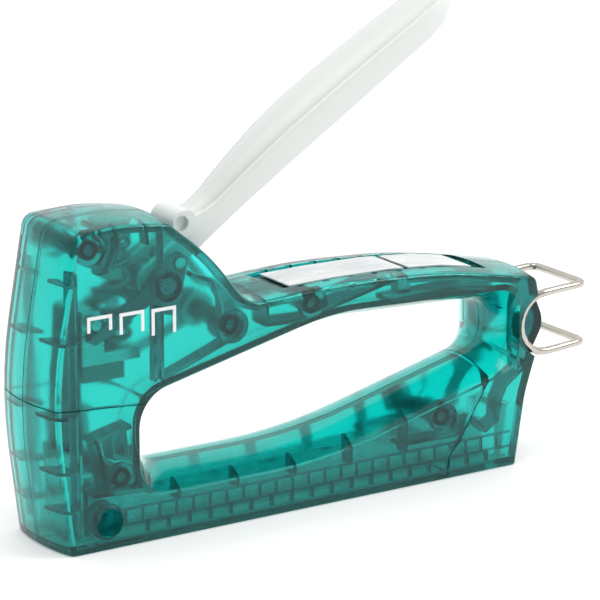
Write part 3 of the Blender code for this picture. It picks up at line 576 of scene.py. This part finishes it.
def new_material(name, colour, roughness, **values):
    made = bpy.data.materials.new(name)
    made.use_nodes = True
    shader = made.node_tree.nodes["Principled BSDF"]
    shader.inputs["Base Color"].default_value = (*colour, 1.0)
    shader.inputs["Roughness"].default_value = roughness
    for key, value in values.items():
        shader.inputs[key.replace("_", " ")].default_value = value
    return made, made.node_tree, shader


def noise(tree, scale, detail=3.0, stretch=(1.0, 1.0, 1.0), rough=0.5):
    coords = tree.nodes.new("ShaderNodeTexCoord")
    mapping = tree.nodes.new("ShaderNodeMapping")
    mapping.inputs["Scale"].default_value = stretch
    texture = tree.nodes.new("ShaderNodeTexNoise")
    texture.inputs["Scale"].default_value = scale
    texture.inputs["Detail"].default_value = detail
    texture.inputs["Roughness"].default_value = rough
    tree.links.new(coords.outputs["Object"], mapping.inputs["Vector"])
    tree.links.new(mapping.outputs["Vector"], texture.inputs["Vector"])
    return texture.outputs["Fac"]


def spread(tree, value, low, high, start=0.3, end=0.7):
    ramp = tree.nodes.new("ShaderNodeMapRange")
    ramp.inputs["From Min"].default_value = start
    ramp.inputs["From Max"].default_value = end
    ramp.inputs["To Min"].default_value = low
    ramp.inputs["To Max"].default_value = high
    tree.links.new(value, ramp.inputs["Value"])
    return ramp.outputs["Result"]


def two_tone(tree, value, first, second):
    """Blend of two colours, either of which may be another node's output."""
    mix = tree.nodes.new("ShaderNodeMix")
    mix.data_type = "RGBA"
    for socket, colour in (("A", first), ("B", second)):
        if isinstance(colour, tuple):
            mix.inputs[socket].default_value = (*colour, 1.0)
        else:
            tree.links.new(colour, mix.inputs[socket])
    tree.links.new(value, mix.inputs["Factor"])
    return mix.outputs["Result"]


def bump(tree, shader, height, strength, distance):
    node = tree.nodes.new("ShaderNodeBump")
    node.inputs["Strength"].default_value = strength
    node.inputs["Distance"].default_value = distance
    tree.links.new(height, node.inputs["Height"])
    tree.links.new(node.outputs["Normal"], shader.inputs["Normal"])


def attribute(tree, name):
    node = tree.nodes.new("ShaderNodeAttribute")
    node.attribute_name = name
    return node.outputs["Fac"]


def depth_tint(tree, passed, density):
    depth = tree.nodes.new("ShaderNodeVolumeAbsorption")
    depth.inputs["Color"].default_value = (*passed, 1.0)
    depth.inputs["Density"].default_value = density
    tree.links.new(depth.outputs["Volume"], tree.nodes["Material Output"].inputs["Volume"])


def housing_plastic():
    """Clear teal: polished outside, matt inside, with painted shade: rib, boss and joint faces get a dark slate
    colour.
    """
    made, tree, shader = new_material("clear_teal", OUTSIDE, 0.05, Transmission_Weight=0.97, IOR=1.40,
                                      Specular_IOR_Level=0.15)
    depth_tint(tree, DEPTH_COLOUR, DEPTH_DENSITY)
    frost, painted_rib_shade = attribute(tree, "frost"), attribute(tree, "painted_rib_shade")
    # Painted shade: rib, boss and joint faces take the dark slate colour instead of the inside teal
    inner = two_tone(tree, painted_rib_shade, INSIDE, RIB_PAINTED_SHADE)
    tree.links.new(two_tone(tree, frost, OUTSIDE, inner), shader.inputs["Base Color"])
    wave = spread(tree, noise(tree, 55.0, 2.0), 0.75, 1.25)
    rough = spread(tree, frost, 0.03, 0.20, 0.0, 1.0)
    product = tree.nodes.new("ShaderNodeMath")
    product.operation = "MULTIPLY"
    tree.links.new(rough, product.inputs[0])
    tree.links.new(wave, product.inputs[1])
    tree.links.new(product.outputs[0], shader.inputs["Roughness"])
    bump(tree, shader, noise(tree, 140.0, 1.0), 0.10, 0.0004)
    return made


def plain_teal():
    made, tree, shader = new_material("clear_teal_inside", INSIDE, 0.25, Transmission_Weight=0.9, IOR=1.40)
    bump(tree, shader, noise(tree, 300.0, 2.0), 0.15, 0.0002)
    tree.links.new(spread(tree, noise(tree, 90.0), 0.18, 0.32), shader.inputs["Roughness"])
    return made


def painted_lever():
    made, tree, shader = new_material("lever_paint", (0.78, 0.81, 0.78), 0.30)
    speck = noise(tree, 2600.0, 2.0)
    broad = noise(tree, 40.0, 3.0)
    tone = two_tone(tree, broad, (0.77, 0.805, 0.775), (0.81, 0.84, 0.81))
    tree.links.new(tone, shader.inputs["Base Color"])
    tree.links.new(spread(tree, broad, 0.30, 0.42), shader.inputs["Roughness"])
    bump(tree, shader, speck, 0.12, 0.0001)
    return made


def worked_steel(name, dark, light, roughness, stretch=(1.0, 1.0, 14.0)):
    made, tree, shader = new_material(name, light, roughness, Metallic=1.0)
    grain = noise(tree, 260.0, 4.0, stretch)
    tree.links.new(two_tone(tree, grain, dark, light), shader.inputs["Base Color"])
    tree.links.new(spread(tree, grain, roughness * 0.75, roughness * 1.3), shader.inputs["Roughness"])
    bump(tree, shader, grain, 0.06, 0.0002)
    return made


def moulded(name, colour, roughness):
    made, tree, shader = new_material(name, colour, roughness)
    grain = noise(tree, 1500.0, 3.0)
    tree.links.new(spread(tree, grain, roughness * 0.85, roughness * 1.15), shader.inputs["Roughness"])
    bump(tree, shader, grain, 0.25, 0.0001)
    return made


def label_card():
    """White card under a clear film that has scuffed and lifted in patches."""
    made, tree, shader = new_material("label_card", (0.86, 0.88, 0.88), 0.2, Coat_Weight=0.7)
    patches = spread(tree, noise(tree, 75.0, 6.0, (0.6, 2.0, 1.0), 0.65), 0.0, 1.0, 0.38, 0.62)
    tone = two_tone(tree, patches, (0.60, 0.66, 0.67), (0.90, 0.92, 0.92))
    tree.links.new(tone, shader.inputs["Base Color"])
    tree.links.new(spread(tree, patches, 0.12, 0.35, 0.0, 1.0), shader.inputs["Roughness"])
    bump(tree, shader, noise(tree, 240.0, 4.0), 0.2, 0.0002)
    return made


def printed_white():
    made, tree, shader = new_material("white_print", (0.88, 0.90, 0.90), 0.35)
    wear = noise(tree, 900.0, 4.0)
    tree.links.new(two_tone(tree, wear, (0.80, 0.84, 0.84), (0.93, 0.94, 0.94)), shader.inputs["Base Color"])
    return made


# ---------------------------------------------------------------- pieces

def near_skin(trees, point):
    return any(tree.find_nearest(point, SKIN_REACH)[0] is not None for tree in trees)


def surface_tree(bm):
    obj = finish("reference", bm)
    points = [v.co for v in obj.data.vertices]
    tree = BVHTree.FromPolygons(points, [tuple(p.vertices) for p in obj.data.polygons])
    bpy.data.objects.remove(obj, do_unlink=True)
    return tree


def in_pocket(point):
    """Whether a point, folded to the left side, is on the wall or floor of the nose pocket."""
    reach, depth = POCKET_POLISH
    spread_out = math.hypot(point.x - SHIFT - POCKET[0] * MM, point.z - POCKET[1] * MM)
    return spread_out < reach * MM and point.y < -depth * MM


def mark_faces(obj, outside, lining):
    """Store on each face whether it is inside, and whether it belongs to a rib, boss or joint, whose faces get
    painted shade.
    """
    frost = obj.data.attributes.new("frost", "FLOAT", "FACE")
    # Mask for the painted shade on rib, boss and joint faces; the nose pocket is left out of it
    painted_rib_shade = obj.data.attributes.new("painted_rib_shade", "FLOAT", "FACE")
    for face in obj.data.polygons:
        folded = Vector((face.center.x, -abs(face.center.y), face.center.z))
        out = in_pocket(folded) or near_skin(outside, folded)
        frost.data[face.index].value = 0.0 if out else 1.0
        painted_rib_shade.data[face.index].value = 0.0 if out or near_skin(lining, folded) else 1.0


def smooth(obj, angle=32.0):
    obj.data.shade_smooth()
    obj.data.set_sharp_from_angle(angle=math.radians(angle))


def place(obj, name, paint, body, slot, *nodes):
    obj.name = name
    obj.data.name = name
    obj.data.materials.clear()
    obj.data.materials.append(paint)
    smooth(obj)
    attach(obj, body)
    if nodes:
        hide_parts(*nodes)
    return obj


def build_shells(paint):
    inner = HALF_WIDTH - WALL
    void_levels = [(-1.0, 0.0), (0.5 * inner, 0.0), (0.8 * inner, 0.0), (inner, 0.5)]
    bore_levels = [(-2.0, 0.0), (0.5 * inner, 0.0), (0.8 * inner, 0.0), (inner + 1.0, 0.4)]
    outside = [surface_tree(skin(OUTER, housing_levels(-1.0, HALF_WIDTH), True)),
               surface_tree(skin(OPENING, housing_levels(-1.0, HALF_WIDTH + 1.0), False))]
    lining = [surface_tree(skin(OUTER, void_levels, True, WALL)),
              surface_tree(skin(OPENING, bore_levels, False, WALL))]
    left = shell_blank()
    right = mirrored(left, "right_half")
    for half, side, word in ((left, -1, "left"), (right, 1, "right")):
        drill_half(half, side)
        lower = copy_object(half, "lower")
        cut(half, prism(parting_region(0.5 * SPLIT_GAP), -30.0, 30.0))
        keep_inside(lower, prism(parting_region(-0.5 * SPLIT_GAP), -30.0, 30.0))
        for piece, stem in ((half, "upper_shell_"), (lower, "magazine_shell_")):
            mark_faces(piece, outside, lining)
            place(piece, "clear_" + stem + word, paint, "housing", "housing", stem + word)


def build_grip(paint):
    grip = build_lever()
    place(grip, "satin_lever", paint, "lever", "lever", "lever")


def build_wires(nickel, spring):
    place(finish("wire", tube(loop_path(), LOOP_WIRE, 20, True)), "polished_wire_loop", nickel,
          "loop", "nickel_wire", "wire_loop")
    low, high = SPRING_Z
    coil = helix((SPRING_X, 0.0, low + 0.9), (0.0, 0.0, 1.0), high - low - 1.8, 4.4, 0.8, 7.0, 28, 12)
    power = place(finish("coil", coil), "coiled_power_spring", spring, "housing", "spring_steel",
                  "power_spring")
    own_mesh(power)
    coil = helix((-44.0, 0.0, ROD_Z), (1.0, 0.0, 0.0), 106.0, 2.55, 0.3, 46.0, 14, 8)
    pusher = place(finish("coil", coil), "coiled_pusher_spring", spring, "loader", "spring_steel",
                   "pusher_spring")
    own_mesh(pusher)
    coil = helix((PIVOT[0], -2.6, PIVOT[1]), (0.0, 1.0, 0.0), 5.2, 3.6, 0.5, 4.0, 28, 12)
    place(finish("coil", coil), "coiled_return_spring", spring, "lever", "spring_steel",
          "lever_return_spring")


def build_print(paint):
    """Plain pictogram of three staples, printed on the side of the head."""
    for k, leg in enumerate((3.6, 5.0, 6.4)):
        x = -62.5 + 9.2 * k
        top = 60.5 - 0.3 * k
        mark = strip([(x, top - leg), (x, top), (x + 6.2, top), (x + 6.2, top - leg)], 0.9)
        piece = finish("print", prism(mark, -HALF_WIDTH - 0.05, -HALF_WIDTH + 0.02))
        place(piece, "printed_staple_%d" % (k + 1), paint, "housing", "label")


SHARP_ANGLE = math.radians(35.0)    # an edge that turns more than this stays sharp on CAD nodes


def smooth_modifier():
    """Node group that shades a CAD node smooth except along its sharp edges."""
    group = bpy.data.node_groups.new("smooth_by_angle", "GeometryNodeTree")
    group.interface.new_socket("Geometry", in_out="INPUT", socket_type="NodeSocketGeometry")
    group.interface.new_socket("Geometry", in_out="OUTPUT", socket_type="NodeSocketGeometry")
    start, end = group.nodes.new("NodeGroupInput"), group.nodes.new("NodeGroupOutput")
    faces = group.nodes.new("GeometryNodeSetShadeSmooth")
    edges = group.nodes.new("GeometryNodeSetShadeSmooth")
    edges.domain = "EDGE"
    edges.inputs["Shade Smooth"].default_value = False
    angle = group.nodes.new("GeometryNodeInputMeshEdgeAngle")
    sharp = group.nodes.new("FunctionNodeCompare")
    sharp.inputs[1].default_value = SHARP_ANGLE
    group.links.new(angle.outputs["Unsigned Angle"], sharp.inputs[0])
    group.links.new(start.outputs[0], faces.inputs["Geometry"])
    group.links.new(faces.outputs[0], edges.inputs["Geometry"])
    group.links.new(sharp.outputs[0], edges.inputs["Selection"])
    group.links.new(edges.outputs[0], end.inputs[0])
    return group


def dress(node, paint, group):
    obj = frame["nodes"][node]
    obj.data.materials.clear()
    obj.data.materials.append(paint)
    modifier = obj.modifiers.new("smooth", "NODES")
    modifier.node_group = group


# ---------------------------------------------------------------- studio

def floor_material():
    made, tree, shader = new_material("studio_floor", (0.9, 0.9, 0.9), 0.6, Emission_Strength=0.22)
    shader.inputs["Emission Color"].default_value = (1.0, 1.0, 1.0, 1.0)
    grain = noise(tree, 3.0, 2.0)
    tree.links.new(two_tone(tree, grain, (0.88, 0.88, 0.88), (0.92, 0.92, 0.92)), shader.inputs["Base Color"])
    return made


def studio_world():
    """White beyond the object and dimmer on the near side, as between a lit sweep and a dark room."""
    world = bpy.data.worlds.new("studio_world")
    world.use_nodes = True
    tree = world.node_tree
    coords = tree.nodes.new("ShaderNodeTexCoord")
    toward = tree.nodes.new("ShaderNodeVectorMath")
    toward.operation = "DOT_PRODUCT"
    toward.inputs[1].default_value = (0.62, 0.75, 0.20)
    tree.links.new(coords.outputs["Generated"], toward.inputs[0])
    light = spread(tree, toward.outputs["Value"], NEAR_LIGHT, FAR_LIGHT, -0.7, 0.30)
    background = tree.nodes["Background"]
    background.inputs["Color"].default_value = (1.0, 1.0, 1.0, 1.0)
    tree.links.new(light, background.inputs["Strength"])
    bpy.context.scene.world = world


def build_studio():
    bpy.ops.mesh.primitive_plane_add(size=8.0, location=(0.0, 0.0, -0.0002))
    floor = bpy.context.object
    floor.name = "studio_floor"
    floor.data.materials.append(floor_material())
    studio_world()
    for name, spot, size, power in (
            ("key_light", (0.75, -0.55, 0.85), 0.45, 4.0),
            ("top_light", (-0.25, -0.15, 1.1), 0.6, 3.4)):
        light = bpy.data.lights.new(name, "AREA")
        light.size = size
        light.energy = power
        holder = bpy.data.objects.new(name, light)
        holder.location = spot
        aim = Vector((0.0, 0.0, 0.05)) - Vector(spot)
        holder.rotation_euler = aim.to_track_quat("-Z", "Y").to_euler()
        bpy.context.scene.collection.objects.link(holder)


def build_camera():
    """Long lens, low and to the left of the nose, level with no roll."""
    azimuth, elevation, distance = math.radians(33.3), math.radians(15.4), 0.930
    target = Vector((-0.0030, -0.0022, 0.0523))
    back = Vector((-math.sin(azimuth) * math.cos(elevation), -math.cos(azimuth) * math.cos(elevation),
                   math.sin(elevation)))
    data = bpy.data.cameras.new("camera")
    data.lens = 216.0
    data.sensor_width = 36.0
    camera = bpy.data.objects.new("camera", data)
    camera.location = target + back * distance
    camera.rotation_euler = (-back).to_track_quat("-Z", "Y").to_euler()
    bpy.context.scene.collection.objects.link(camera)
    bpy.context.scene.camera = camera


def paint_nodes(finishes):
    group = smooth_modifier()
    for entry in frame["record"]["subparts"]:
        dress(entry["node"], finishes[entry["material_slot"]], group)


bpy.context.scene.view_settings.view_transform = "Standard"
build_camera()
build_studio()
PAINTS = {
    "housing": plain_teal(), "lever": painted_lever(), "label": label_card(),
    "steel": worked_steel("bright_steel", (0.45, 0.46, 0.46), (0.62, 0.62, 0.61), 0.28),
    "dark_steel": worked_steel("dark_steel", (0.12, 0.13, 0.14), (0.22, 0.23, 0.24), 0.38),
    "spring_steel": worked_steel("spring_steel", (0.14, 0.15, 0.16), (0.30, 0.31, 0.32), 0.35),
    "nickel_wire": worked_steel("nickel_wire", (0.46, 0.43, 0.38), (0.62, 0.59, 0.53), 0.08),
    "rubber": moulded("grey_elastomer", (0.35, 0.36, 0.36), 0.7),
    "natural_nylon": moulded("natural_nylon", (0.72, 0.72, 0.68), 0.45),
}
paint_nodes(PAINTS)
build_shells(housing_plastic())
build_grip(PAINTS["lever"])
build_wires(PAINTS["nickel_wire"], PAINTS["spring_steel"])
build_print(printed_white())
